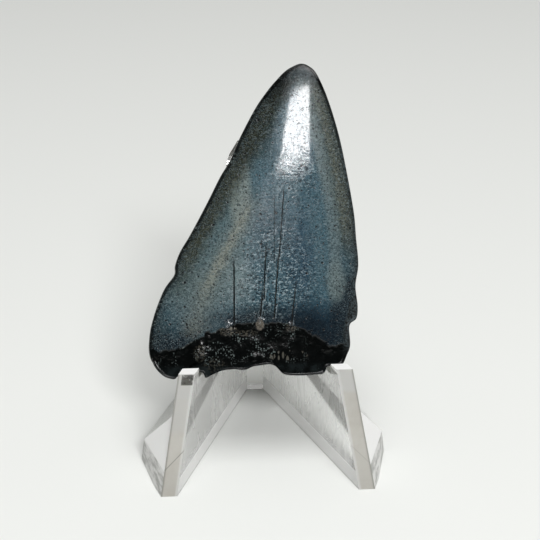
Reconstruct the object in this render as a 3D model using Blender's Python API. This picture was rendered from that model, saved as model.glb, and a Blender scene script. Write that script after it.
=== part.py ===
"""Fossil great white shark tooth resting on a moulded clear plastic stand.

Sizes are in millimetres in a frame whose x = 0 is the stand's middle plane, y = 0 the front edge of its
feet and z = 0 the floor, front towards -Y. At the end all is moved so that the origin is the bottom centre.
"""

import bmesh
import bpy
import numpy as np

MM = 0.001

# The stand: two upright walls that meet at a ridge behind, like a letter V from above.
WALL = 2.94  # across the strip along x, 2.7 square to its faces
RIDGE_HALF = 1.61  # half width of the fold in the middle, on its front side
RIDGE_FRONT = 35.62
RIDGE_BACK = 38.50
WALL_SLOPE = 0.415  # how far a wall goes sideways for each mm towards the front
FRONT_LEAN = 0.44  # how far the front goes back for each mm up
LIP_TOP = 20.04
LIP_BACK = 10.83
LEDGE = 18.05
LEDGE_BACK = 20.38
REST_TOP = (33.24, 51.48)  # y, z of the upper end of the sloping edges behind the tooth
TOP_BACK = 52.60
TOP_ROUND = 1.5
# The solid lower part of each half, in front view a low wing beside the foot.
WING_TOP = 13.8
WING_BAND = 4.0  # height of its upright lower band at the foot
WING_TIP = (22.70, 12.25, 0.0)
WING_TIP_TOP = (22.15, 12.25, 4.37)
WING_TUCK = 0.9  # how far the face above the band leans in at its top
WING_INSET = 0.02
REAR_FOOT = (5.8, 38.4)  # x, y of the corner of its base beside the ridge
REAR_TOP = 16.0  # how high its outer face reaches there
BEDDED = 1.0  # how deep it reaches into the wall

# The tooth: drawn in a plane that leans back, u across, v up the tooth and w forward out of the plane.
LEAN_SIN = 0.4384
LEAN_COS = 0.8988
PLANE_Y = 13.41
PLANE_Z = LEDGE
GAP = 0.30  # clearance between tooth and stand
EDGE_FRONT = 0.30  # half thickness of the worn cutting edges
EDGE_BACK = 0.35
CROWN_RIGHT = (
    (8.1, 55.3), (9.6, 54.8), (11.0, 53.3), (12.8, 49.1), (14.7, 42.5), (16.1, 35.2), (17.2, 28.0),
    (17.5, 23.4), (17.8, 18.5), (17.2, 14.6), (17.5, 10.9), (17.2, 8.6), (15.9, 7.3), (16.0, 3.7),
)
BROKEN_RIM = (
    (15.4, 1.8), (14.6, 0.3), (13.4, 0.0), (11.2, -0.15), (9.9, -1.55), (7.5, -1.6), (3.6, -1.3),
    (1.4, 0.5), (-1.6, 0.4), (-3.6, -0.2), (-6.8, -0.1), (-8.8, -0.7), (-10.9, -1.4), (-11.6, -0.4),
    (-15.0, -0.3), (-15.9, -1.4), (-17.0, -1.5), (-18.6, -0.8),
)
CROWN_LEFT = (
    (-20.1, 0.9), (-20.8, 3.4), (-20.6, 6.7), (-19.9, 9.6), (-18.8, 12.6), (-17.6, 15.1), (-15.9, 17.4),
    (-15.7, 19.1), (-14.7, 21.6), (-12.7, 24.8), (-9.6, 30.3), (-7.1, 35.0), (-5.2, 38.0), (-3.3, 42.1),
    (-0.4, 47.3), (2.0, 50.6), (3.5, 52.3), (5.0, 53.8), (6.4, 54.7),
)
# The smooth triangle that the worn outline sits in: v, then u of its left and right sides.
SIDE_V = (-2.0, 3.4, 9.6, 15.1, 21.6, 30.3, 38.0, 47.3, 52.3, 55.6)
SIDE_LEFT = (-21.4, -21.3, -20.2, -17.9, -15.0, -10.0, -5.5, -0.6, 3.1, 6.4)
SIDE_RIGHT = (16.6, 17.0, 17.8, 18.1, 18.1, 17.3, 15.9, 13.8, 11.9, 9.7)
# Bulge of the two faces up the middle of the tooth.
BULGE_V = (-2.0, 3.0, 10.0, 20.0, 28.0, 38.0, 47.0, 52.0, 55.6)
BULGE_FRONT = (1.9, 2.1, 2.3, 2.3, 2.2, 1.9, 1.3, 0.8, 0.3)
BULGE_BACK = (4.5, 4.7, 4.7, 4.1, 3.4, 2.45, 1.6, 1.1, 0.5)
SPINE = ((-1.5, 8.0), (7.6, 50.0))  # the line that the rings of both faces close in on
RINGS = (0.03, 0.10, 0.22, 0.38, 0.56, 0.75, 0.93)


def material(name, colour, roughness, alpha=1.0):
    made = bpy.data.materials.new(name)
    made.use_nodes = True
    shader = made.node_tree.nodes["Principled BSDF"]
    shader.inputs["Base Color"].default_value = (*colour, 1.0)
    shader.inputs["Roughness"].default_value = roughness
    shader.inputs["Metallic"].default_value = 0.0
    shader.inputs["Alpha"].default_value = alpha
    made.diffuse_color = (*colour, alpha)
    return made


def object_from(name, mesh, collection):
    bmesh.ops.recalc_face_normals(mesh, faces=mesh.faces)
    data = bpy.data.meshes.new(name)
    mesh.to_mesh(data)
    mesh.free()
    made = bpy.data.objects.new(name, data)
    collection.objects.link(made)
    return made


def prism(name, outline, along, low, high, collection):
    """An outline in the two other axes, extruded along x or z."""
    mesh = bmesh.new()
    corners = []
    for a, b in outline:
        place = (low, a, b) if along == "x" else (a, b, low)
        corners.append(mesh.verts.new([c * MM for c in place]))
    face = mesh.faces.new(corners)
    far = bmesh.ops.extrude_face_region(mesh, geom=[face])["geom"]
    moved = [item for item in far if isinstance(item, bmesh.types.BMVert)]
    shift = (high - low) * MM
    bmesh.ops.translate(mesh, verts=moved, vec=(shift, 0, 0) if along == "x" else (0, 0, shift))
    return object_from(name, mesh, collection)


def boolean(target, tool, operation):
    step = target.modifiers.new(f"{operation.lower()}_{tool.name}", "BOOLEAN")
    step.operation = operation
    step.solver = "EXACT"
    step.object = tool


def wall_x(y):
    """x of the wall's face that looks into the front opening."""
    return RIDGE_HALF + WALL_SLOPE * (RIDGE_FRONT - y)


def wall_plan():
    """The two walls and the ridge from above, run out in front of the feet to be cut later."""
    run_out = -4.0
    inner = wall_x(run_out)
    back = wall_x(RIDGE_BACK) + WALL
    right = [(RIDGE_HALF, RIDGE_FRONT), (inner, run_out), (inner + WALL, run_out), (back, RIDGE_BACK)]
    return right + [(-x, y) for x, y in reversed(right)]


def side_profile():
    """The walls from the side: lip, ledge for the tooth, sloping edge behind it and the top, y then z."""
    y, z = REST_TOP
    rise = (z - LEDGE) / (y - LEDGE_BACK)
    length = np.hypot(1.0, rise)
    below = (y - TOP_ROUND / length, z - TOP_ROUND * rise / length)
    top_slope = (TOP_BACK - z) / (RIDGE_BACK - y)
    beyond = (y + TOP_ROUND, z + TOP_ROUND * top_slope)
    corner = []
    for t in (0.0, 0.33, 0.67, 1.0):
        corner.append(tuple(
            (1 - t) ** 2 * a + 2 * t * (1 - t) * b + t * t * c
            for a, b, c in zip(below, REST_TOP, beyond)
        ))
    return [
        (-6.0, -3.0), (-6.0, LIP_TOP), (LIP_BACK, LIP_TOP), (LIP_BACK, LEDGE), (LEDGE_BACK, LEDGE),
        *corner, (RIDGE_BACK + 1.0, TOP_BACK + top_slope), (RIDGE_BACK + 1.0, -3.0),
    ]


def wing(name, side, collection):
    """The solid between foot, low outer tip and ridge, whose outer face falls away from the wall."""
    foot = np.array((wall_x(0.0) + WALL - WING_INSET, 0.0, 0.0))
    rise = np.array((-WALL_SLOPE * FRONT_LEAN, FRONT_LEAN, 1.0))
    shoulder = foot + rise * WING_TOP + np.array((-WING_TUCK, 0.3 * WING_TUCK, 0.0))
    tip, tip_top = np.array(WING_TIP), np.array(WING_TIP_TOP)
    rear_x, rear_y = REAR_FOOT
    # The front is drawn long and cut to the lean, the bottom to the floor.
    below = 2.0
    corners = [
        foot - rise * below, foot + rise * WING_BAND, shoulder, tip + (tip - tip_top) * 0.5, tip_top,
        (rear_x, rear_y, -below), (rear_x, rear_y, 0.3),
        (wall_x(rear_y) + WALL - 0.05, rear_y, REAR_TOP),
        (wall_x(-below) + BEDDED, -below, -below), (wall_x(6.0) + BEDDED, 6.0, WING_TOP),
        (wall_x(rear_y) + BEDDED, rear_y, -below), (wall_x(rear_y) + BEDDED, rear_y, REAR_TOP),
    ]
    mesh = bmesh.new()
    for x, y, z in corners:
        mesh.verts.new((x * side * MM, y * MM, z * MM))
    hull = bmesh.ops.convex_hull(mesh, input=mesh.verts)
    spare = [item for item in hull["geom_interior"] if isinstance(item, bmesh.types.BMVert)]
    bmesh.ops.delete(mesh, geom=spare, context="VERTS")
    return object_from(name, mesh, collection)


def smooth_between(points):
    """A closed outline with one point added between each two, on a smooth curve through them."""
    p = np.array(points, float)
    before, after, further = np.roll(p, 1, 0), np.roll(p, -1, 0), np.roll(p, -2, 0)
    middle = (9 * (p + after) - before - further) / 16
    return np.stack((p, middle), 1).reshape(-1, 2)


def lens(u, v):
    """1 up the middle of the tooth, falling to 0 at its sides."""
    left, right = np.interp(v, SIDE_V, SIDE_LEFT), np.interp(v, SIDE_V, SIDE_RIGHT)
    across = np.clip(np.abs((2 * u - left - right) / (right - left)), 0, 1)
    return (1 - across**2.2) ** 0.9


def front_of(u, v):
    return EDGE_FRONT + np.interp(v, BULGE_V, BULGE_FRONT) * lens(u, v)


def back_of(u, v):
    return -EDGE_BACK - np.interp(v, BULGE_V, BULGE_BACK) * lens(u, v)


def in_space(u, v, w):
    """Points of the leaning plane's frame in the stand's."""
    y = PLANE_Y + LEAN_SIN * v - LEAN_COS * w
    z = PLANE_Z + LEAN_COS * v + LEAN_SIN * w
    return np.stack((u, y, z), 1)


def floor_v(w):
    """v at which a point this far forward clears the ledge."""
    return (GAP + 0.05 - LEAN_SIN * w) / LEAN_COS


def tooth_rows():
    """Closed rows of points from the middle of the front face, over the edge, to the middle of the back."""
    points = smooth_between(CROWN_RIGHT + BROKEN_RIM + CROWN_LEFT)
    u, v = points.T
    rim = np.zeros(len(u))
    first, last = 2 * len(CROWN_RIGHT), 2 * (len(CROWN_RIGHT) + len(BROKEN_RIM))
    rim[first:last] = 1.0
    rim[[first - 1, last]] = 0.5
    start, end = np.array(SPINE)
    along = np.clip((v - start[1]) / (end[1] - start[1]), 0, 1)
    spine = start + along[:, None] * (end - start)
    w_front, w_back = front_of(u, v), back_of(u, np.maximum(v, 2.5))
    hang = v - floor_v(w_front)
    back_v = np.where(rim > 0, v * (1 - rim) + rim * (floor_v(w_back) + 0.3 * np.maximum(hang, 0)), v)
    rows = []
    for r in reversed(RINGS):
        a, b = u + (spine[:, 0] - u) * r, v + (spine[:, 1] - v) * r
        rows.append(in_space(a, b, front_of(a, b)))
    rows.append(in_space(u, v, w_front))
    for t in (0.14, 0.5):
        w = w_front + (w_back - w_front) * t
        under = floor_v(w) + np.maximum(hang, 0) * (1 - 0.7 * t)
        rows.append(in_space(u, v * (1 - rim) + under * rim, w))
    rows.append(in_space(u, back_v, w_back))
    for r in RINGS:
        a, b = u + (spine[:, 0] - u) * r, back_v + (spine[:, 1] - back_v) * r
        rows.append(in_space(a, b, back_of(a, b)))
    return rows


def tooth(collection):
    mesh = bmesh.new()
    loops = [[mesh.verts.new(p * MM) for p in row] for row in tooth_rows()]
    for first, second in zip(loops, loops[1:]):
        for k in range(len(first)):
            n = (k + 1) % len(first)
            mesh.faces.new((first[k], first[n], second[n], second[k]))
    mesh.faces.new(loops[0])
    mesh.faces.new(loops[-1])
    bmesh.ops.triangulate(mesh, faces=mesh.faces)
    return object_from("tooth", mesh, collection)


def main():
    for old in list(bpy.data.objects):
        bpy.data.objects.remove(old, do_unlink=True)
    parts = bpy.data.collections.new("shark_tooth_on_stand")
    cutters = bpy.data.collections.new("cutters")
    for collection in (parts, cutters):
        bpy.context.scene.collection.children.link(collection)

    stand = prism("display_stand", wall_plan(), "z", -3.0, 60.0, parts)
    profile = prism("side_profile", side_profile(), "x", -30.0, 30.0, cutters)
    front_and_floor = prism(
        "front_and_floor", ((0, 0), (60, 0), (60, 60 / FRONT_LEAN), (60.0 - 0.01, 60 / FRONT_LEAN)),
        "x", -30.0, 30.0, cutters,
    )
    boolean(stand, profile, "INTERSECT")
    for side, name in ((1, "wing_right"), (-1, "wing_left")):
        boolean(stand, wing(name, side, cutters), "UNION")
    boolean(stand, front_and_floor, "INTERSECT")
    stand.data.materials.append(material("clear_plastic", (0.80, 0.83, 0.82), 0.08, 0.35))

    fossil = tooth(parts)
    fossil.data.materials.append(material("fossil_enamel", (0.075, 0.085, 0.10), 0.28))

    for cutter in cutters.objects:
        cutter.hide_render = True
        cutter.display_type = "WIRE"
    rearmost = max(RIDGE_BACK * MM, max(vertex.co.y for vertex in fossil.data.vertices))
    for made in bpy.data.objects:
        made.location.y = -rearmost / 2


main()
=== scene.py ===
from math import radians

import bmesh
import bpy
import numpy as np
from mathutils import Matrix, Vector

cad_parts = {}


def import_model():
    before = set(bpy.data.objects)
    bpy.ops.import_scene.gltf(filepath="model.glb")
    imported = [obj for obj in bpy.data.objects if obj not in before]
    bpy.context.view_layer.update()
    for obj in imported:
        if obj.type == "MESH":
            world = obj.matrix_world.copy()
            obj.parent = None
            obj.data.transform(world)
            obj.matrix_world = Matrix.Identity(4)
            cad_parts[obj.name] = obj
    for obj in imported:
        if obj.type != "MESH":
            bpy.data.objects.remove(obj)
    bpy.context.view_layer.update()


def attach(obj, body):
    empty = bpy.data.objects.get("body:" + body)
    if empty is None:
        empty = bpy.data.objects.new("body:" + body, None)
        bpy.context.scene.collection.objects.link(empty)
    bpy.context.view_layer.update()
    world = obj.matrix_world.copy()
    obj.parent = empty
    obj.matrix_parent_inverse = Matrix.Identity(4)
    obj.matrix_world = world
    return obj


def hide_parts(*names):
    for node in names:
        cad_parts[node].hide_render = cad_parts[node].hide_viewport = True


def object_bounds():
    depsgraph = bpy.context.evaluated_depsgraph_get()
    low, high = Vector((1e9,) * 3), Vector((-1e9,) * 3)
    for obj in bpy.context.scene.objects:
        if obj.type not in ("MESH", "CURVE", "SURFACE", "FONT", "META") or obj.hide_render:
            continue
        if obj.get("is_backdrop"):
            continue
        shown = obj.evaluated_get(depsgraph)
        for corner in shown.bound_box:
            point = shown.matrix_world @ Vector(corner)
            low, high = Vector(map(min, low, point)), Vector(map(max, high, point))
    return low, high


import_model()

# -------------------------------------------------------------------------------------------- tooth
# A fossil great white shark tooth, one natural piece: a mineralised enamel crown worn smooth, with
# the black, rough strip of root that is left below it. It leans on the stand by its own weight.
# Its points are (u, v, w) in mm: across the face, up the face from the ledges, and out of the face.
MM = 0.001
DEPTH = 38.5  # front to back of the stand, whose middle is at y = 0
LEAN = radians(26)
PLANE_Y, PLANE_Z = 13.41 - DEPTH / 2, 18.05  # where the point (0, 0, 0) of the tooth stands
CROWN_RIGHT = (
    (8.1, 55.3), (9.6, 54.8), (11.0, 53.3), (12.8, 49.1), (14.7, 42.5), (16.1, 35.2), (17.2, 28.0),
    (17.5, 23.4), (17.8, 18.5), (17.2, 14.6), (17.5, 10.9), (17.2, 8.6), (15.9, 7.3), (16.0, 3.7),
)
BROKEN_RIM = (
    (15.4, 1.8), (14.6, 0.3), (13.4, 0.0), (11.75, -0.1), (10.85, -1.35), (7.5, -1.6), (3.6, -1.3),
    (1.4, 0.5), (-1.6, 0.4), (-3.6, -0.2), (-6.8, -0.1), (-8.8, -0.7), (-10.75, -1.5),
    (-11.7, -0.4), (-15.0, -0.3), (-15.9, -1.4), (-17.0, -1.5), (-18.6, -0.8),
)
CROWN_LEFT = (
    (-20.1, 0.9), (-20.8, 3.4), (-20.6, 6.7), (-19.9, 9.6), (-18.8, 12.6), (-17.6, 15.1),
    (-15.9, 17.4), (-15.7, 19.1), (-14.7, 21.6), (-12.7, 24.8), (-9.6, 30.3), (-7.1, 35.0),
    (-5.2, 38.0), (-3.3, 42.1), (-0.4, 47.3), (2.0, 50.6), (3.5, 52.3), (5.0, 53.8), (6.4, 54.7),
)
# The two sides as plain tables, which the bulge of the faces and the colours of the margins follow.
SIDE_V = (-2.0, 3.4, 9.6, 15.1, 21.6, 30.3, 38.0, 47.3, 52.3, 55.6)
SIDE_LEFT = (-21.4, -21.3, -20.2, -17.9, -15.0, -10.0, -5.5, -0.6, 2.3, 3.6)
SIDE_RIGHT = (16.6, 17.0, 17.8, 18.1, 18.1, 17.3, 15.9, 13.8, 12.5, 12.0)
BULGE_V = (-2.0, 3.0, 10.0, 20.0, 28.0, 35.8, 41.0, 47.0, 52.0, 55.6)
BULGE_FRONT = (1.9, 2.1, 2.25, 2.25, 2.22, 2.17, 1.80, 1.33, 0.85, 0.2)
BULGE_BACK = (4.5, 4.7, 4.7, 4.1, 3.4, 2.6, 2.15, 1.6, 1.1, 0.5)
SPINE = ((-1.5, 8.0), (7.6, 50.0))  # the rings of points close in on this line
EDGE_FRONT, EDGE_BACK, EDGE_ROUND = 0.30, 0.35, 0.30
RIM_BACK_V = 2.5  # the broken rim is as deep as the tooth is at this v
CURVE_STEPS = 24
ROUND, RINGS_FRONT, RINGS_EDGE, RINGS_BACK = 640, 84, 12, 30
RING_REACH, RING_CROWDING = 0.985, 1.15
FADED_RINGS, OUTER_RINGS = 4, 8
REST_GAP = 0.06
# Where the enamel ends: the arch over the root strip, then the chipped right side.
ENAMEL_END = (
    (-24.0, 4.2), (-20.6, 4.1), (-18.8, 3.9), (-15.6, 4.1), (-12.6, 5.7), (-9.7, 7.0), (-7.5, 7.7),
    (-5.4, 8.3), (-3.4, 8.5), (-1.0, 8.8), (1.7, 8.3), (4.6, 7.9), (7.5, 7.1), (10.4, 5.0),
    (11.8, 4.0), (13.2, 3.8), (14.4, 4.3), (14.8, 7.9), (15.6, 10.3), (16.4, 12.3), (17.0, 13.6),
    (19.5, 14.5),
)
TAN_STREAK = ((-1.9, 29.7), (-6.1, 22.3), (-10.2, 14.8), (-12.6, 8.0))
# Worn knobs along the arch: u, v, radius and height.
KNOBS = (
    (-0.7, 8.2, 0.75, 0.55), (-6.6, 7.4, 1.0, 0.30), (4.9, 7.5, 0.6, 0.35), (-11.4, 3.6, 1.2, 0.25),
)


def closed_curve(points):
    """A smooth closed curve through the points."""
    p = np.array(points, float)
    a, b, c, d = (np.roll(p, k, 0) for k in (1, 0, -1, -2))
    t = np.arange(CURVE_STEPS)[:, None, None] / CURVE_STEPS
    curve = 2 * b + (c - a) * t
    curve += (2 * a - 5 * b + 4 * c - d) * t**2 + (3 * b - a - 3 * c + d) * t**3
    return (curve / 2).transpose(1, 0, 2).reshape(-1, 2)


def evenly(curve, count):
    """The curve at even distances, and how far along the original points each lies."""
    loop = np.vstack((curve, curve[:1]))
    run = np.concatenate(([0.0], np.cumsum(np.linalg.norm(np.diff(loop, axis=0), axis=1))))
    at = np.linspace(0, run[-1], count, endpoint=False)
    place = np.interp(at, run, np.arange(len(loop))) / CURVE_STEPS
    return np.stack([np.interp(at, run, loop[:, k]) for k in (0, 1)], 1), place


def soft(x, low, high):
    """0 at low and 1 at high with a smooth way between; low may be the larger."""
    t = np.clip((x - low) / (high - low), 0, 1)
    return t * t * (3 - 2 * t)


def profile(v, at, values):
    """A table read with its corners rounded off."""
    fine_step, spread, reach = 0.05, 1.6, 80
    fine = np.linspace(-6, 60, 1321)
    table = np.interp(fine, at, values)
    kernel = np.exp(-0.5 * (np.arange(-reach, reach + 1) * fine_step / spread) ** 2)
    padded = np.pad(table, reach, mode="edge")
    return np.interp(v, fine, np.convolve(padded, kernel / kernel.sum(), "valid"))


def sides(v):
    return profile(v, SIDE_V, SIDE_LEFT), profile(v, SIDE_V, SIDE_RIGHT)


def lens(u, v):
    """1 along the middle of the face, falling to 0 at both sides."""
    left, right = sides(v)
    across = np.clip(np.abs((2 * u - left - right) / (right - left)), 0, 1)
    return (1 - across**2.2) ** 0.9


def lattice(u, v, size, seed):
    """Smooth random relief from -1 to 1 whose lumps are about this many mm across."""
    cells = 256
    grid = np.random.default_rng(seed).uniform(-1, 1, (cells, cells))
    x, y = u / size + 97.3, v / size + 53.7
    i, j = np.floor(x).astype(int), np.floor(y).astype(int)
    fx, fy = x - i, y - j
    fx, fy = fx * fx * (3 - 2 * fx), fy * fy * (3 - 2 * fy)
    corner = lambda a, b: grid[(i + a) % cells, (j + b) % cells]
    low = corner(0, 0) * (1 - fx) + corner(1, 0) * fx
    high = corner(0, 1) * (1 - fx) + corner(1, 1) * fx
    return low * (1 - fy) + high * fy


def distance_to(u, v, line):
    """Distance to an open line of straight pieces."""
    best = np.full(u.shape, 1e9)
    for (x0, y0), (x1, y1) in zip(line, line[1:]):
        dx, dy = x1 - x0, y1 - y0
        t = np.clip(((u - x0) * dx + (v - y0) * dy) / (dx * dx + dy * dy), 0, 1)
        best = np.minimum(best, np.hypot(u - x0 - t * dx, v - y0 - t * dy))
    return best


def within(u, v, polygon):
    inside = np.zeros(u.shape, bool)
    for (x0, y0), (x1, y1) in zip(polygon, polygon[1:] + polygon[:1]):
        cross = (y0 > v) != (y1 > v)
        inside ^= cross & (u < (x1 - x0) * (v - y0) / (y1 - y0 + 1e-12) + x0)
    return inside


def enamel_at(u, v):
    """How far a point is inside the enamel; below 0 it is on the root or on the chipped side."""
    inside = within(u, v, ENAMEL_END + ((24.0, 60.0), (-24.0, 60.0)))
    away = distance_to(u, v, ENAMEL_END)
    ragged = 0.35 * lattice(u, v, 1.1, 3) + 0.2 * lattice(u, v, 0.45, 4)
    return np.where(inside, away, -away) + ragged


def front_relief(u, v):
    """What stands above or below the smooth front face."""
    enamel = enamel_at(u, v)
    root = 1 - soft(enamel, -0.35, 0.15)
    rough = 0.07 * lattice(u, v, 1.5, 5) + 0.030 * lattice(u, v, 0.8, 6)
    rough += 0.010 * lattice(u, v, 0.45, 7)
    smoother_right = 1 - 0.6 * soft(u, 2.0, 8.0)
    smooth_rim = 1 - 0.75 * soft(v, 1.9, 0.9)
    step_down, hollow = 0.12, 0.15 * soft(enamel, -0.4, -2.2)
    lower = root * (rough * smoother_right * smooth_rim - step_down - hollow)
    for ku, kv, size, high in KNOBS:
        lump = np.exp(-(((u - ku) ** 2 + (v - kv) ** 2) / size**2) ** 1.5)
        lower += high * lump * (1 + 0.7 * lattice(u, v, 0.4, 8))
    waves = 0.030 * lattice(u, v, 7.0, 1) + 0.010 * lattice(u, v, 2.6, 2)
    return waves * (1 - root) + lower


def front_of(u, v):
    return EDGE_FRONT + profile(v, BULGE_V, BULGE_FRONT) * lens(u, v)


def back_of(u, v):
    return -EDGE_BACK - profile(v, BULGE_V, BULGE_BACK) * lens(u, v)


def floor_v(w):
    """The lowest v at which a point this far forward clears the ledge that carries the tooth."""
    return (REST_GAP - np.sin(LEAN) * w) / np.cos(LEAN)


def tooth_rows():
    """Closed rows of (u, v, w) points from mid front over the edge to mid back, and how far inside
    the edge each point of the front lies."""
    outline, place = evenly(closed_curve(CROWN_RIGHT + BROKEN_RIM + CROWN_LEFT), ROUND)
    first, last = len(CROWN_RIGHT) - 0.5, len(CROWN_RIGHT) + len(BROKEN_RIM)
    rim = soft(place, first - 1.0, first + 0.5) * (1 - soft(place, last - 0.5, last + 1.2))
    tangent = np.roll(outline, -1, 0) - np.roll(outline, 1, 0)
    tangent /= np.linalg.norm(tangent, axis=1)[:, None]
    outward = np.stack((-tangent[:, 1], tangent[:, 0]), 1)
    inner = outline - outward * EDGE_ROUND
    start, end = np.array(SPINE)
    t = np.clip((inner[:, 1] - start[1]) / (end[1] - start[1]), 0, 1)
    to_spine = start + t[:, None] * (end - start) - inner

    rows, inward = [], []
    for k in range(RINGS_FRONT, -1, -1):
        r = RING_REACH * (k / RINGS_FRONT) ** RING_CROWDING
        u, v = (inner + to_spine * r).T
        edge_fade = soft(np.full(ROUND, float(k)), 0, FADED_RINGS)
        rows.append((u, v, front_of(u, v) + front_relief(u, v) * edge_fade))
        inward.append(np.linalg.norm(to_spine, axis=1) * r)

    # The edge is round on the crown. Along the root it is broken, and follows the ledge below it.
    u, v, w_front = rows[-1]
    w_back = back_of(u, np.maximum(v, RIM_BACK_V))
    hang = np.maximum(v - floor_v(w_front), 0)
    for t in np.linspace(0, 1, RINGS_EDGE + 1)[1:-1]:
        out, w = np.sin(np.pi * t), w_front + (w_back - w_front) * t
        side_u, side_v = np.stack((u, v)) + outward.T * EDGE_ROUND * out
        side_w = (w_front + w_back) / 2 + (w_front - w_back) / 2 * np.cos(np.pi * t)
        under = v - EDGE_ROUND * 0.6 if t < 0.1 else floor_v(w) + hang * (1 - 0.7 * t)
        broken = 0.22 * (1 + lattice(u, w * 2 + 40, 1.6, 11)) * out
        crown = np.stack((side_u, side_v, side_w))
        rows.append(tuple(crown * (1 - rim) + np.stack((u, under + broken, w)) * rim))
        inward.append(np.zeros(ROUND))

    back = np.stack((u, v + rim * (floor_v(w_back) + 0.3 * hang - v)), 1)
    spine = inner + to_spine
    for k in range(RINGS_BACK + 1):
        r = RING_REACH * k / RINGS_BACK
        u, v = (back + (spine - back) * r).T
        rows.append((u, v, back_of(u, v)))
        inward.append(np.zeros(ROUND))
    return np.array(rows).transpose(0, 2, 1), np.array(inward)


def mesh_from_rows(name, rows):
    """A closed skin over rows of points, with the first and last row capped."""
    count, around = rows.shape[:2]
    mesh = bpy.data.meshes.new(name)
    row_starts, along = np.arange(count - 1)[:, None] * around, np.arange(around)
    first, beside = row_starts + along, row_starts + (along + 1) % around
    quads = np.stack((first, beside, beside + around, first + around), 2).reshape(-1, 4)
    caps = [along[::-1].tolist(), ((count - 1) * around + along).tolist()]
    mesh.from_pydata((rows.reshape(-1, 3) * MM).tolist(), [], quads.tolist() + caps)
    work = bmesh.new()
    work.from_mesh(mesh)
    caps = [face for face in work.faces if len(face.verts) > 4]
    bmesh.ops.triangulate(work, faces=caps, ngon_method="BEAUTY")
    bmesh.ops.recalc_face_normals(work, faces=work.faces)
    work.to_mesh(mesh)
    work.free()
    mesh.shade_smooth()
    return mesh


def record(mesh, name, values):
    """Stores one number a point for the shader to read."""
    stored = mesh.attributes.new(name, "FLOAT", "POINT").data
    stored.foreach_set("value", np.asarray(values, np.float32).ravel())


def front_normals(u, v, reach=0.06):
    """Which way the front face points, from its height a little way to each side."""
    height = lambda a, b: front_of(a, b) + front_relief(a, b)
    across = (height(u - reach, v) - height(u + reach, v)) / (2 * reach)
    along = (height(u, v - reach) - height(u, v + reach)) / (2 * reach)
    normals = np.stack((across, along, np.ones_like(across)), -1)
    return normals / np.linalg.norm(normals, axis=-1, keepdims=True)


rows, inward = tooth_rows()
tooth_mesh = mesh_from_rows("tooth_body", rows)
pu, pv, _ = rows.reshape(-1, 3).T
left, right = sides(pv)
record(tooth_mesh, "enamel", enamel_at(pu, pv))
record(tooth_mesh, "from_left", pu - left)
record(tooth_mesh, "from_right", right - pu)
record(tooth_mesh, "inward", inward)
record(tooth_mesh, "tan", distance_to(pu, pv, TAN_STREAK))
plane_mm = tooth_mesh.attributes.new("plane_mm", "FLOAT_VECTOR", "POINT").data
plane_mm.foreach_set("vector", rows.reshape(-1).astype(np.float32))
lean_back = Matrix.Rotation(radians(90) - LEAN, 4, "X")
tooth_mesh.transform(Matrix.Translation((0, PLANE_Y * MM, PLANE_Z * MM)) @ lean_back)

# The rings crowd together along the middle of the face, where their thin quads would leave a seam.
# All but the outer rings get normals worked out from the face itself.
normals = np.empty(len(tooth_mesh.vertices) * 3, np.float32)
tooth_mesh.vertex_normals.foreach_get("vector", normals)
normals = normals.reshape(-1, 3)
crowded = (RINGS_FRONT - OUTER_RINGS) * ROUND
normals[:crowded] = front_normals(pu[:crowded], pv[:crowded]) @ np.array(lean_back.to_3x3()).T
tooth_mesh.normals_split_custom_set_from_vertices(normals.tolist())


class Wire:
    """An output of a shader node. Arithmetic on it adds Math nodes."""

    def __init__(self, node, output=0):
        self.tree, self.socket = node.id_data, node.outputs[output]

    @staticmethod
    def node(tree, kind, settings, inputs, output=0):
        made = tree.nodes.new(kind)
        for name, value in settings.items():
            setattr(made, name, value)
        for key, value in inputs.items():
            if isinstance(value, Wire):
                tree.links.new(value.socket, made.inputs[key])
            else:
                made.inputs[key].default_value = value
        return Wire(made, output) if len(made.outputs) else made

    def math(self, operation, first, second):
        inputs = {0: first, 1: second}
        return Wire.node(self.tree, "ShaderNodeMath", {"operation": operation}, inputs)

    def __add__(self, other): return self.math("ADD", self, other)
    def __radd__(self, other): return self.math("ADD", other, self)
    def __sub__(self, other): return self.math("SUBTRACT", self, other)
    def __rsub__(self, other): return self.math("SUBTRACT", other, self)
    def __mul__(self, other): return self.math("MULTIPLY", self, other)
    def __rmul__(self, other): return self.math("MULTIPLY", other, self)
    def __truediv__(self, other): return self.math("DIVIDE", self, other)
    def __abs__(self): return self.math("ABSOLUTE", self, 0.0)

    def step(self, low, high):
        """0 below low and 1 above high with a smooth way between; low may be the larger."""
        return Wire.node(
            self.tree, "ShaderNodeMapRange", {"interpolation_type": "SMOOTHSTEP"},
            {"Value": self, "From Min": low, "From Max": high},
        )

    def axes(self):
        """The three numbers of a vector."""
        split = Wire.node(self.tree, "ShaderNodeSeparateXYZ", {}, {0: self})
        return [Wire(split.socket.node, k) for k in range(3)]

    def scaled(self, scale, turn=0.0):
        """A place turned about its upright axis, then scaled."""
        inputs = {"Vector": self, "Rotation": (0.0, 0.0, turn), "Scale": scale}
        return Wire.node(self.tree, "ShaderNodeMapping", {}, inputs)


def opaque(colour):
    return colour if isinstance(colour, Wire) else (*colour, 1.0)


def blend(factor, first, second):
    """Goes from the first colour to the second with the factor."""
    return Wire.node(
        factor.tree, "ShaderNodeMix", {"data_type": "RGBA", "clamp_factor": True},
        {0: factor, 6: opaque(first), 7: opaque(second)}, 2,
    )


def layered(colour, layers):
    """The colour with each (factor, tint) laid over it in turn."""
    for factor, tint in layers:
        colour = blend(factor, colour, tint)
    return colour


def noise(vector, scale, detail=2.0, roughness=0.5, distortion=0.0):
    """Smooth random values around 0.5."""
    shape = {"Scale": scale, "Detail": detail, "Roughness": roughness, "Distortion": distortion}
    return Wire.node(vector.tree, "ShaderNodeTexNoise", {}, {"Vector": vector, **shape})


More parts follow.
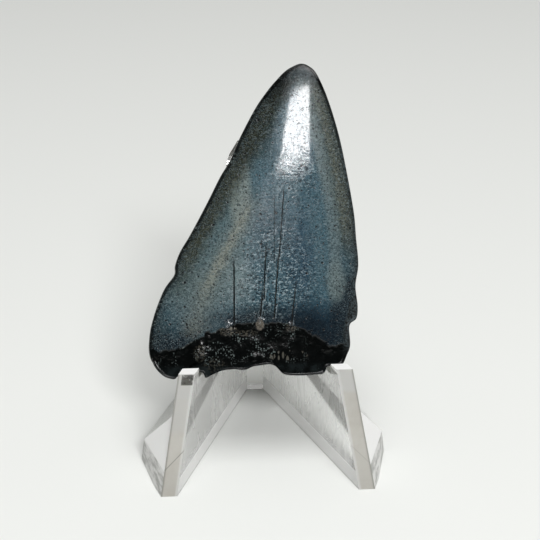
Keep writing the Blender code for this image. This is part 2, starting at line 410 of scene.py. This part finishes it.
def specks(vector, scale, radius, share):
    """1 on small dots of about this radius, in a share of the cells of a random grid, 0 between."""
    cell = Wire.node(
        vector.tree, "ShaderNodeTexVoronoi", {"voronoi_dimensions": "2D"},
        {"Vector": vector, "Scale": scale},
    )
    chance = Wire(cell.socket.node, "Color").axes()[0]
    reach = (chance - (1 - share)) * (radius * scale / share)
    return (reach * 1.6 - cell).step(0.0, radius * scale * 0.5)


def new_material(name):
    made = bpy.data.materials.new(name)
    made.use_nodes = True
    made.node_tree.nodes.clear()
    return made, made.node_tree


def surface(tree, colour, roughness, ior, transmission=0.0, height=None):
    """A shiny or clear surface. A height in mm makes it bumpy."""
    inputs = {"Base Color": opaque(colour), "Roughness": roughness, "IOR": ior}
    inputs["Transmission Weight"] = transmission
    if height is not None:
        bump = {"Strength": 1.0, "Distance": MM, "Height": height}
        inputs["Normal"] = Wire.node(tree, "ShaderNodeBump", {}, bump)
    return Wire.node(tree, "ShaderNodeBsdfPrincipled", {}, inputs)


def mixed(factor, first, second):
    return Wire.node(factor.tree, "ShaderNodeMixShader", {}, {0: factor, 1: first, 2: second})


def finish_material(tree, shader, volume=None):
    links = {"Surface": shader}
    if volume is not None:
        links["Volume"] = volume
    Wire.node(tree, "ShaderNodeOutputMaterial", {}, links)


fossil, tree = new_material("fossil")
attribute = lambda name, output: Wire.node(
    tree, "ShaderNodeAttribute", {"attribute_name": name}, {}, output
)
mm = attribute("plane_mm", "Vector")
u, v, w = mm.axes()
enamel, from_left, from_right, inward, tan = (
    attribute(name, "Fac") for name in ("enamel", "from_left", "from_right", "inward", "tan")
)


def spot(at_u, at_v, reach_u, reach_v, soften):
    """1 around a place on the face, falling to 0 at an oval of this reach."""
    across, along = (u - at_u) / reach_u, (v - at_v) / reach_v
    return (across * across + along * along).step(1.0, 1.0 - soften)


def line_up(low_u, low_v, high_u, high_v, wide, ragged=0.0):
    """1 on a straight line up the face, 0 a few tenths of a millimetre beside it."""
    slope = (high_u - low_u) / (high_v - low_v)
    line = abs(u - low_u - (v - low_v) * slope + ragged)
    ends = v.step(low_v - 0.3, low_v + 0.5) * v.step(high_v, high_v - 3.0)
    return line.step(wide, wide * 0.3) * ends


cloud = noise(mm, 0.16, 3.0)
mottle = noise(mm, 0.7, 4.0, 0.6)
fine = noise(mm, 2.6, 3.0, 0.65)
grain = noise(mm, 6.0, 2.0, 0.6)
streaky = noise(mm.scaled((1.0, 0.12, 1.0)), 0.45, 3.0)
ragged = mottle - 0.5
front = w.step(0.0, 0.4)

# Blue-grey enamel: bluer up the middle, paler to the left, olive and brown along both margins, navy
# towards the root on the right, near black beside the root, and a tan streak up the left side.
# Painted shade darkens it along the outline.
SLATE, LIGHT_SLATE = (0.033, 0.081, 0.108), (0.053, 0.103, 0.127)
HEART_BLUE, MIDDLE_BLUE = (0.018, 0.048, 0.078), (0.012, 0.030, 0.042)
LEFT_GREY, LEFT_PALE = (0.098, 0.120, 0.116), (0.225, 0.255, 0.235)
LEFT_BLUE, LEFT_GREEN = (0.110, 0.155, 0.170), (0.133, 0.172, 0.153)
STRIPE_GREY, NOTCH_GREY = (0.135, 0.165, 0.158), (0.120, 0.155, 0.152)
OLIVE, DARK_OLIVE = (0.026, 0.025, 0.010), (0.014, 0.013, 0.003)
TIP_DARK, TIP_BLUE = (0.012, 0.018, 0.014), (0.010, 0.040, 0.054)
RIGHT_DARK, RIGHT_BROWN = (0.032, 0.038, 0.030), (0.080, 0.082, 0.058)
CORNER_DARK, NAVY = (0.006, 0.015, 0.017), (0.002, 0.015, 0.031)
ROOT_SHADE, EDGE_SHADE = (0.002, 0.005, 0.009), (0.010, 0.012, 0.010)
STREAK_TAN, WIDE_TAN = (0.245, 0.250, 0.200), (0.155, 0.166, 0.142)

heart = spot(7.0, 21.0, 4.5, 11.0, 1.0) * (0.4 + 0.6 * streaky.step(0.42, 0.6))
left_side = u.step(0.5, -5.0) * v.step(9.0, 16.0) * v.step(46.0, 40.0)
stripe = from_right + ragged * 1.2
stripe = stripe.step(3.2, 4.2) * stripe.step(6.4, 5.0) * v.step(9.0, 15.0)
stripe = stripe * (0.50 + 0.18 * v.step(27.0, 36.0))
left_margin = (from_left + ragged * 3.5).step(6.0, 2.6) * v.step(10.0, 22.0) * v.step(55.5, 52.0)
right_margin = (from_right + ragged * 2.0).step(5.0, 2.4) * v.step(12.0, 26.0) * v.step(55.0, 51.0)
high_left = (from_left + ragged * 3.0).step(6.4, 2.8) * v.step(33.0, 40.0) * v.step(55.5, 52.0)
low_left = (v + (from_left + ragged * 2.0) * 0.7).step(17.0, 6.0) * u.step(-7.0, -11.5)
navy = spot(8.0 + (cloud - 0.5) * 6.0, 6.5, 9.5, 8.0, 1.0)
above_root = (enamel + ragged * 1.8 - u.step(4.0, 9.0) * 0.8).step(4.4, 0.7)
shade = above_root * (1 - 0.5 * spot(-9.5, 6.0, 4.0, 6.0, 1.0))
streak = (tan + ragged * 1.6 + (fine - 0.5) * 1.5 + v.step(22.0, 31.0) * 0.7).step(1.6, 0.0)
streak = streak * (0.2 + 0.8 * v.step(11.0, 19.0))
wide_streak = (tan + ragged * 2.0).step(3.4, 0.4)
# Painted shade along the outline of the face.
edge = (inward + ragged).step(2.2, 0.2)
colour = layered(blend(cloud.step(0.35, 0.65), SLATE, LIGHT_SLATE), (
    (heart, HEART_BLUE),
    (spot(-11.5, 12.0, 6.5, 8.0, 0.9) * 0.45, LEFT_GREY),
    (spot(-3.8, 32.5, 2.6, 9.5, 0.9) * 0.8, LEFT_PALE),
    (spot(-4.6, 16.0, 4.0, 6.0, 1.0) * 0.6, LEFT_BLUE),
    (left_side * 0.35, LEFT_GREEN),
    (spot(2.0, 25.0, 4.5, 8.0, 1.0) * 0.4, MIDDLE_BLUE),
    (stripe, STRIPE_GREY),
    (left_margin * 0.95, OLIVE),
    (spot(0.6, 46.0, 3.4, 10.0, 0.9) * 0.75, TIP_DARK),
    (right_margin * 0.92, blend(v.step(19.0, 27.0), RIGHT_DARK, RIGHT_BROWN)),
    (high_left * 0.85, DARK_OLIVE),
    (v.step(51.0, 54.5) * 0.7, TIP_BLUE),
    (low_left * 0.95, CORNER_DARK),
    (navy * 0.93, NAVY),
    (shade * 0.97, ROOT_SHADE),
    (streak * 0.72, STREAK_TAN),
    (wide_streak * 0.35, WIDE_TAN),
    (edge * 0.6, EDGE_SHADE),
    (spot(13.4, 15.5, 2.4, 4.5, 0.9) * 0.7, NOTCH_GREY),
))

# Worn skin: mottling, ripples like hammered metal over the middle whose bright crests are painted
# glints, more painted glints where the shine ends, and many tiny pits.
MOTTLE_DARK, GRAIN_PALE = (0.008, 0.017, 0.025), (0.150, 0.195, 0.205)
RIPPLE_DARK, RIPPLE_GLINT = (0.006, 0.012, 0.018), (0.275, 0.345, 0.370)
SHINE_END_GLINT, PIT_DARK = (0.48, 0.54, 0.56), (0.003, 0.004, 0.005)
rippled = spot(2.5, 16.0, 8.0, 12.0, 0.9) + spot(6.2, 35.5, 5.0, 4.2, 0.8)
ripple = noise(mm.scaled((1.4, 2.2, 1.0)), 1.5, 1.5, 0.6, 0.9)
# The bright ripples are painted glints.
ripple_glints = ripple.step(0.56, 0.66) * (0.26 + 0.58 * rippled)
ripple_glints = ripple_glints * (1 - 0.9 * navy) * (1 - 0.5 * shade) * (1 - 0.5 * left_margin)
pits = specks(mm, 0.36, 0.20, 0.6) + specks(mm, 0.8, 0.13, 0.7) + specks(mm, 1.7, 0.09, 0.75)
pits = pits + specks(mm, 1.3, 0.15, 0.6) * spot(-12.6, 8.5, 5.0, 4.5, 0.8)
colour = layered(colour, (
    ((fine - 0.5).step(-0.04, 0.10) * 0.50, MOTTLE_DARK),
    ((grain - 0.5).step(0.0, 0.12) * 0.40 * (1 - 0.85 * navy), GRAIN_PALE),
    (ripple.step(0.47, 0.36) * (0.50 + 0.45 * rippled), RIPPLE_DARK),
    (ripple_glints, RIPPLE_GLINT),
    # Painted glints where the shine ends.
    (ripple.step(0.50, 0.58) * spot(6.4, 36.6, 4.4, 2.8, 0.9) * 0.32, SHINE_END_GLINT),
    (pits * 0.9, PIT_DARK),
))

# Fine cracks that run up from the root, with a painted highlight on the lip beside the lower end of
# each: the place of a crack's foot, that of its top, half its width and how black it is.
CRACK_LINES = (
    (-5.3, 8.2, -5.1, 20.8, 0.20, 1.0), (-0.6, 9.3, 0.0, 15.2, 0.22, 1.0),
    (0.15, 12.5, 0.8, 23.6, 0.17, 1.0), (1.9, 9.0, 3.1, 21.9, 0.19, 1.0),
    (3.1, 20.0, 4.3, 33.5, 0.14, 1.0), (2.2, 19.5, 2.5, 33.0, 0.10, 0.6),
    (5.0, 7.6, 6.2, 16.5, 0.16, 0.9),
)
# Place and colour of the painted highlight on each crack's lip.
LIP_BESIDE, LIP_WIDE, LIP_PAST_MIDDLE = 0.24, 0.10, 1.5
LIP_HIGHLIGHT, CRACK_DARK = (0.36, 0.43, 0.46), (0.004, 0.005, 0.006)
NICK_BRIGHT = (0.35, 0.35, 0.28)
wiggle = (noise(mm, 0.8, 2.0) - 0.5) * 0.35
cracks, lip_highlights = u * 0.0, u * 0.0
for low_u, low_v, high_u, high_v, wide, deep in CRACK_LINES:
    cracks = cracks + line_up(low_u, low_v, high_u, high_v, wide, wiggle) * deep
    lip_end = (low_v + high_v) / 2 + LIP_PAST_MIDDLE
    lip_highlight = line_up(low_u + LIP_BESIDE, low_v, high_u + LIP_BESIDE, lip_end, LIP_WIDE, wiggle)
    lip_highlights = lip_highlights + lip_highlight * deep
cracks, lip_highlights = cracks * front, lip_highlights * front * fine.step(0.42, 0.55)
nick = line_up(-9.7, 28.7, -9.0, 29.9, 0.2)
colour = layered(colour, (
    (lip_highlights * 0.4, LIP_HIGHLIGHT),
    (cracks, CRACK_DARK),
    (nick * front, NICK_BRIGHT),
))

# Squiggles that break up the shine, most of all where it ends.
squiggle = noise(mm.scaled((0.8, 1.25, 1.0)), 1.5, 3.0, 0.6, 1.5)
shine_end = spot(6.5, 36.5, 5.0, 4.5, 0.9)
broken_shine = abs(squiggle - 0.5).step(0.018, 0.004) * (0.25 + 0.75 * shine_end)

# The root: near black, with pale grit, brownish crust and worn knobs.
ROOT_BLACK, ROOT_GREY = (0.0010, 0.0014, 0.0014), (0.0040, 0.0050, 0.0050)
GRIT_PALE, CRUST_BROWN = (0.105, 0.128, 0.124), (0.120, 0.112, 0.090)
KNOB_BROWN, TICK_TAN = (0.130, 0.115, 0.095), (0.130, 0.125, 0.105)
CHIP_GREY, RIM_GREY = (0.045, 0.060, 0.065), (0.012, 0.017, 0.018)
grit = specks(mm, 1.1, 0.18, 0.5) + specks(mm, 2.2, 0.12, 0.75) + specks(mm, 3.0, 0.10, 0.6)
grit = grit * noise(mm, 0.45, 3.0).step(0.47, 0.60) * v.step(0.6, 1.8) * u.step(9.0, 4.0)
crust = spot(-11.6, 3.2, 1.3, 1.9, 0.9) * 0.6 + spot(-6.4, 7.3, 2.0, 1.3, 0.8)
crust = crust + spot(-3.0, 6.6, 2.4, 0.7, 0.9) * 0.6 + spot(4.9, 7.4, 1.2, 0.9, 0.8) * 0.9
crust = crust + spot(-9.0, 0.9, 2.6, 1.6, 0.9) * 0.3
knob = spot(-0.7, 8.1, 0.85, 1.2, 0.5) * (0.4 + 0.6 * fine.step(0.40, 0.55))
ticks = specks(mm.scaled((1.0, 0.35, 1.0)), 1.4, 0.22, 0.9) * spot(4.2, 2.4, 4.2, 1.0, 0.4)
chipped = u.step(14.2, 15.2) * v.step(2.0, 4.5)
low_rim = v.step(1.2, 0.2)
root_colour = layered(blend(mottle.step(0.5, 0.8), ROOT_BLACK, ROOT_GREY), (
    (grit * 0.72, GRIT_PALE),
    (crust * fine.step(0.47, 0.62) * 0.8, CRUST_BROWN),
    (knob, KNOB_BROWN),
    (ticks * 0.45, TICK_TAN),
    (chipped * fine.step(0.42, 0.6) * 0.8, CHIP_GREY),
    (low_rim * mottle.step(0.3, 0.7) * 0.6, RIM_GREY),
))

ENAMEL_IOR, ROOT_IOR = 1.47, 1.28
wrinkle = noise(mm, 1.7, 2.0, 0.55, 1.2)
crisp = noise(mm, 3.1, 1.0, 0.5, 0.8)
height = wrinkle * (rippled * 0.006 + 0.002) + crisp * 0.002
height = height - ripple.step(0.65, 0.35) * shine_end * 0.006
height = height - broken_shine * 0.008 - pits * 0.02 - cracks * 0.05 + nick * 0.04
gloss = 0.07 + fine * 0.04 + cracks * 0.3 + broken_shine * 0.35
enamel_shader = surface(tree, colour, gloss, ENAMEL_IOR, height=height)
height = (wrinkle * 0.020 + crisp * 0.012) * (1 - 0.8 * low_rim)
root_shader = surface(tree, root_colour, 0.16 + chipped * 0.3, ROOT_IOR, height=height)
# A worn knob, the edge of the outline, the cracks and the tip take some of the root's dull surface.
dulled = knob * 0.9 + inward.step(0.55, 0.15) * 0.8 + cracks * 0.85
dulled = dulled + v.step(48.5, 53.5) * 0.5 + spot(3.2, 50.5, 3.6, 4.0, 0.9) * 0.4
root_share = enamel.math("MAXIMUM", enamel.step(0.25, -0.25), dulled)
finish_material(tree, mixed(root_share, enamel_shader, root_shader))

tooth = bpy.data.objects.new("tooth_body", tooth_mesh)
bpy.context.scene.collection.objects.link(tooth)
tooth_mesh.materials.append(fossil)
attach(tooth, "root")
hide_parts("tooth")

# -------------------------------------------------------------------------------------------- stand
# A small display stand of clear moulded plastic, one piece: two upright walls that meet at a ridge
# behind, each with a low wing outside, and at its front post a ledge and a lip that hold what leans
# on it.
MOULDED_RADIUS, SHARP = 0.22 * MM, radians(20)
SAME_POINT, FLAT = 0.002 * MM, radians(1.0)
PLASTIC_IOR = 1.49
PLASTIC_CLEAR, PLASTIC_WHITE = (0.985, 0.988, 0.980), (0.97, 0.97, 0.96)
SQUARE_TO_WALL = (0.924, 0.383)  # across and back
# Heights in mm that tell its faces apart.
WING_BAND, FRONT_ENDS, POST_TOP = 4.2, 18.0, 20.0


def coordinates(tree, output="Object"):
    return Wire.node(tree, "ShaderNodeTexCoord", {}, {}, output)


def in_mm(place):
    """How far across, back and up a place is, in mm."""
    return [axis / MM for axis in place.axes()]


def plastic(tree, colour, roughness, transmission, height=None):
    return surface(tree, colour, roughness, PLASTIC_IOR, transmission, height)


def finish_clear(tree, shader):
    """The plastic dims the light that crosses it a little."""
    dimmed = {"Color": (0.95, 0.95, 0.93, 1.0), "Density": 60.0}
    finish_material(tree, shader, Wire.node(tree, "ShaderNodeVolumeAbsorption", {}, dimmed))


# Its triangles are joined into flat faces first, so that only its true edges are rounded.
work = bmesh.new()
work.from_mesh(bpy.data.objects["display_stand"].data)
bmesh.ops.remove_doubles(work, verts=work.verts, dist=SAME_POINT)
bmesh.ops.dissolve_limit(work, angle_limit=FLAT, verts=work.verts, edges=work.edges)
stand_mesh = bpy.data.meshes.new("stand_body")
work.to_mesh(stand_mesh)
work.free()
stand_mesh.materials.clear()
stand = bpy.data.objects.new("stand_body", stand_mesh)
bpy.context.scene.collection.objects.link(stand)
bevel = stand.modifiers.new("moulded_edges", "BEVEL")
bevel.width, bevel.segments = MOULDED_RADIUS, 2
bevel.limit_method, bevel.angle_limit = "ANGLE", SHARP

clear, tree = new_material("clear_plastic")
place = coordinates(tree)
scuffs, haze = noise(place, 900.0, 3.0, 0.6), noise(place, 90.0, 2.0)
bumps = scuffs * 0.004 + haze * 0.03
finish_clear(tree, plastic(tree, PLASTIC_CLEAR, roughness=0.02, transmission=1.0, height=bumps))

# The front end of each wall is sawn and dull. Its colour is painted light seen in the plastic:
# beige from the light that runs along the wall, brighter higher up, with painted shade along its
# outer side, a painted highlight along its inner one, and a fine slanting line. The left one has a
# clear window near its top, painted dark where the black root shows through it.
LIGHT_ALONG_WALL_BEIGE, LIGHT_ALONG_WALL_PALE = (0.70, 0.675, 0.615), (0.765, 0.745, 0.69)
PAINTED_LIGHT_ABOVE, OUTER_SHADE, INNER_HIGHLIGHT = (0.79, 0.79, 0.765), (0.36, 0.35, 0.32), (0.97, 0.97, 0.95)
ROOT_SEEN_THROUGH, LINE_DARK = (0.07, 0.07, 0.07), (0.22, 0.21, 0.19)
sawn, tree = new_material("sawn_face")
place = coordinates(tree)
patchy, gritty = noise(place, 260.0, 3.0, 0.6), noise(place, 2200.0, 2.0, 0.7)
across, back, up = in_mm(place)
through = abs(across) * SQUARE_TO_WALL[0] + back * SQUARE_TO_WALL[1]
left = across.step(1.0, -1.0)
# Painted light: the face is brighter higher up.
lit_higher_up = up.step(15.8, 16.8) + left * up.step(9.5, 11.5) * 0.7
# The window, painted dark where the black root shows through it.
window = through.step(7.8, 8.0) * through.step(9.9, 9.7)
window = window * up.step(18.1, 18.4) * up.step(20.0, 19.8) * left
slanting = abs(up - 4.3 - (10.46 - through) * 1.16).step(0.16, 0.06)
sawn_colour = layered(blend(patchy.step(0.35, 0.65), LIGHT_ALONG_WALL_BEIGE, LIGHT_ALONG_WALL_PALE), (
    (lit_higher_up, PAINTED_LIGHT_ABOVE),
    (through.step(10.12, 10.34) * 0.7, OUTER_SHADE),
    (through.step(8.30, 8.05) * 0.7, INNER_HIGHLIGHT),
    (window * gritty.step(0.36, 0.50) * 0.9, ROOT_SEEN_THROUGH),
    (slanting * (0.25 + 0.5 * left), LINE_DARK),
))
dull = plastic(tree, sawn_colour, roughness=0.33, transmission=0.50)
bright = plastic(tree, PLASTIC_CLEAR, roughness=0.03, transmission=1.0)
finish_clear(tree, mixed(window * patchy.step(0.62, 0.5), dull, bright))

# The fronts of the wings and the tops of the front posts are frosted. The low band of each wing
# has painted streaks of light and shade along it, where the bottom of the wing shows through.
STREAK_SHADE, STREAK_LIGHT = (0.42, 0.42, 0.40), (0.88, 0.88, 0.86)
frosted, tree = new_material("frosted_face")
finish_material(tree, plastic(tree, PLASTIC_WHITE, roughness=0.40, transmission=0.15))
low_band, tree = new_material("low_band")
# Painted streaks of light and shade on the low band.
lines = noise(coordinates(tree).scaled((3.0, 0.5, 3.0), radians(22)), 260.0, 3.0, 0.6)
painted_streaks = blend(lines.step(0.38, 0.6), STREAK_SHADE, STREAK_LIGHT)
finish_material(tree, plastic(tree, painted_streaks, roughness=0.30, transmission=0.35))

# The sides of the walls are misty and faintly smeared. Along the foot they have a whiter band of
# painted light, where the bottom of the wall shows through, with a painted bright line along its
# top, and a painted shadow line at the table.
FOOT_LIGHT_WHITE, TABLE_SHADOW_GREY = (0.99, 0.99, 0.98), (0.20, 0.20, 0.19)
hazy, tree = new_material("hazy_wall")
place = coordinates(tree)
up = in_mm(place)[2]
smears = noise(place.scaled((1.0, 1.0, 0.3)), 260.0, 3.0, 0.6, 0.6).step(0.44, 0.70) * 0.24
# Painted shadow line at the table, and painted light in the band and the line along its top.
table_shadow_line, foot_light_band = up.step(0.35, 0.1), up.step(3.1, 2.8)
band_highlight = abs(up - 3.0).step(0.18, 0.06)
painted_light_and_smears = foot_light_band * 0.55 + band_highlight * 0.4 + table_shadow_line * 0.4 + smears * up.step(2.8, 3.1)
misty = plastic(tree, PLASTIC_WHITE, roughness=0.20, transmission=0.76)
foot_light_and_shadow = blend(table_shadow_line * 0.7, FOOT_LIGHT_WHITE, TABLE_SHADOW_GREY)
light_and_smear_shader = plastic(tree, foot_light_and_shadow, roughness=0.30, transmission=0.05)
finish_material(tree, mixed(painted_light_and_smears, misty, light_and_smear_shader))

finishes = (clear, sawn, frosted, low_band, hazy)
for finish in finishes:
    stand_mesh.materials.append(finish)
for face in stand_mesh.polygons:
    across, back, up = abs(face.normal.x), face.normal.y, face.normal.z
    high = face.center.z / MM
    on_wing = across > 0.8 and back < -0.2
    if back < -0.85 and 0.3 < up < 0.5 and high < FRONT_ENDS:
        face.material_index = finishes.index(sawn)
    if on_wing and 0.2 < up < 0.5 and high > WING_BAND or up > 0.9 and abs(high - POST_TOP) < 0.5:
        face.material_index = finishes.index(frosted)
    if on_wing and 0.1 < up < 0.5 and high < WING_BAND:
        face.material_index = finishes.index(low_band)
    if across > 0.9 and abs(back) > 0.3 and abs(up) < 0.05:
        face.material_index = finishes.index(hazy)
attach(stand, "root")
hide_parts("display_stand")

# ------------------------------------------------------------------------------------------- studio
# A plain pale table top, lit by a broad soft light from above and another from the front, a little
# to the right.
PALE_GREY = (0.785, 0.797, 0.775)
JUST_BELOW = -0.03 * MM
bpy.ops.mesh.primitive_plane_add(size=4.0, location=(0, 0, JUST_BELOW))
table_top = bpy.context.object
table_top.name = "table_top"
paper, tree = new_material("pale_table")
finish_material(tree, surface(tree, PALE_GREY, roughness=0.7, ior=1.5))
table_top.data.materials.append(paper)
table_top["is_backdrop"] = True

world = bpy.data.worlds.new("studio")
bpy.context.scene.world = world
world.use_nodes = True
tree = world.node_tree
tree.nodes.clear()
# The room is dim in front, brighter behind the stand, and brightest overhead.
_, away, above = coordinates(tree, "Generated").axes()
strength = 0.06 + 0.28 * away.step(-0.25, 0.35) + 0.4 * above.step(0.70, 0.97)
glow = {"Color": (1.0, 1.0, 0.98, 1.0), "Strength": strength}
sky = Wire.node(tree, "ShaderNodeBackground", {}, glow)
Wire.node(tree, "ShaderNodeOutputWorld", {}, {"Surface": sky})


def soft_light(name, place, target, size, power):
    lamp = bpy.data.lights.new(name, "AREA")
    lamp.shape, lamp.size, lamp.size_y, lamp.energy = "RECTANGLE", size[0], size[1], power
    made = bpy.data.objects.new(name, lamp)
    made.location = place
    made.rotation_euler = (Vector(target) - Vector(place)).to_track_quat("-Z", "Y").to_euler()
    bpy.context.scene.collection.objects.link(made)


soft_light("overhead", (0.02, -0.14, 0.80), target=(0, 0, 0), size=(0.46, 0.46), power=3.2)
soft_light("front_box", (0.190, -0.80, 0.72), target=(0, 0, 0.05), size=(0.33, 0.20), power=6.8)

# The camera stands in front, a little to the left, and looks down on the aim.
CAMERA_AIM = Vector((-0.23, -DEPTH / 2, 44.98)) * MM
CAMERA_AWAY = 249.32 * MM
TURN, TILT, ROLL = radians(4.82), radians(27.0), radians(-0.70)
camera = bpy.data.cameras.new("camera")
camera.lens = 100.0
camera.sensor_width = 36.0
camera.clip_start = 0.01
view = bpy.data.objects.new("camera", camera)
bpy.context.scene.collection.objects.link(view)
forward = Vector((np.sin(TURN) * np.cos(TILT), np.cos(TURN) * np.cos(TILT), -np.sin(TILT)))
level = Vector((np.cos(TURN), -np.sin(TURN), 0.0))
upward = level.cross(forward)
rolled_right = level * np.cos(ROLL) - upward * np.sin(ROLL)
rolled_up = level * np.sin(ROLL) + upward * np.cos(ROLL)
camera_axes = Matrix((rolled_right, rolled_up, -forward)).transposed().to_4x4()
view.matrix_world = Matrix.Translation(CAMERA_AIM - forward * CAMERA_AWAY) @ camera_axes
scene = bpy.context.scene
scene.camera = view
scene.view_settings.view_transform = "Standard"
scene.cycles.max_bounces = 32
scene.cycles.glossy_bounces = 24
scene.cycles.transmission_bounces = 24

low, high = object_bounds()
